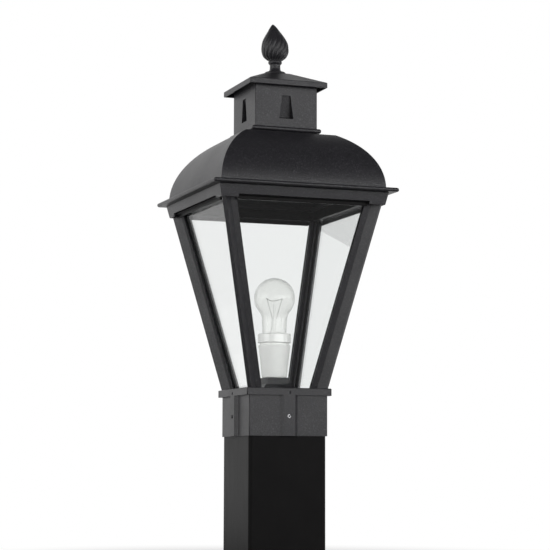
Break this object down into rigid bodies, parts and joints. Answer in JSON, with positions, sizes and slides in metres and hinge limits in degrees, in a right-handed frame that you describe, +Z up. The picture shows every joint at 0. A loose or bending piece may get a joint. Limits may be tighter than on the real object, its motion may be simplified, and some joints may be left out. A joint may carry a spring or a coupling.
{
  "type": "post top lantern",
  "caption": "Square tapering post top lantern with clear panes, domed lift-off hood, vented chimney, fluted finial and a screw-in bulb on a porcelain lampholder.",
  "frame": {"origin": "centre of the post section's lower end", "axes": "+Z up the post, -Y out of the front pane, -X out of the left pane"},
  "size_m": [0.28, 0.28, 0.7879],
  "materials": {
    "black_paint": "fine-texture black powder coat",
    "block_plastic": "moulded",
    "brass": "bare",
    "bulb_glass": "clear",
    "bulb_stem": "clear pressed glass",
    "dark_steel": "blackened",
    "filament": "drawn wire",
    "lead_sleeve": "heat-resisting sleeve",
    "nickel": "nickel plated",
    "pane_glass": "clear",
    "porcelain": "gloss glaze",
    "rubber": "matte",
    "zinc_steel": "zinc plated"
  },
  "bodies": {
    "base": {"base_plate": "black_paint", "base_screws": "dark_steel", "bracket_screws": "zinc_steel", "cable_grommet": "rubber", "cage_screws": "zinc_steel", "centre_contact": "brass", "collar": "black_paint", "collar_set_screws": "dark_steel", "corner_post_back_left": "black_paint", "corner_post_back_right": "black_paint", "corner_post_front_left": "black_paint", "corner_post_front_right": "black_paint", "glass_back": "pane_glass", "glass_front": "pane_glass", "glass_left": "pane_glass", "glass_right": "pane_glass", "holder_bracket": "black_paint", "lampholder_body": "porcelain", "lampholder_ring": "porcelain", "lead_wires": "lead_sleeve", "post_section": "black_paint", "screw_shell": "nickel", "terminal_block": "block_plastic", "top_frame": "black_paint"},
    "hood": {"skirt": "black_paint", "cornice": "black_paint", "dome_roof": "black_paint", "dome_screws": "zinc_steel", "chimney_bead": "black_paint", "chimney_box": "black_paint", "chimney_cap": "black_paint", "tie_strap": "black_paint", "finial_stud": "zinc_steel", "stud_nuts": "zinc_steel"},
    "finial": {"finial": "black_paint"},
    "bulb": {"bulb_cap": "nickel", "bulb_glass": "bulb_glass", "bulb_stem": "bulb_stem", "filament": "filament"}
  },
  "joints": [
    {"name": "hood_lift", "type": "slide", "parent": "base", "child": "hood", "axis": [0, 0, 1], "range_m": [0, 0.15]},
    {"name": "finial_turn", "type": "hinge", "parent": "hood", "child": "finial", "pos_m": [0, 0, 0.7114], "axis": [0, 0, 1], "continuous": true},
    {"name": "bulb_turn", "type": "hinge", "parent": "base", "child": "bulb", "pos_m": [0, 0, 0.2937], "axis": [0, 0, 1], "continuous": true}
  ]
}
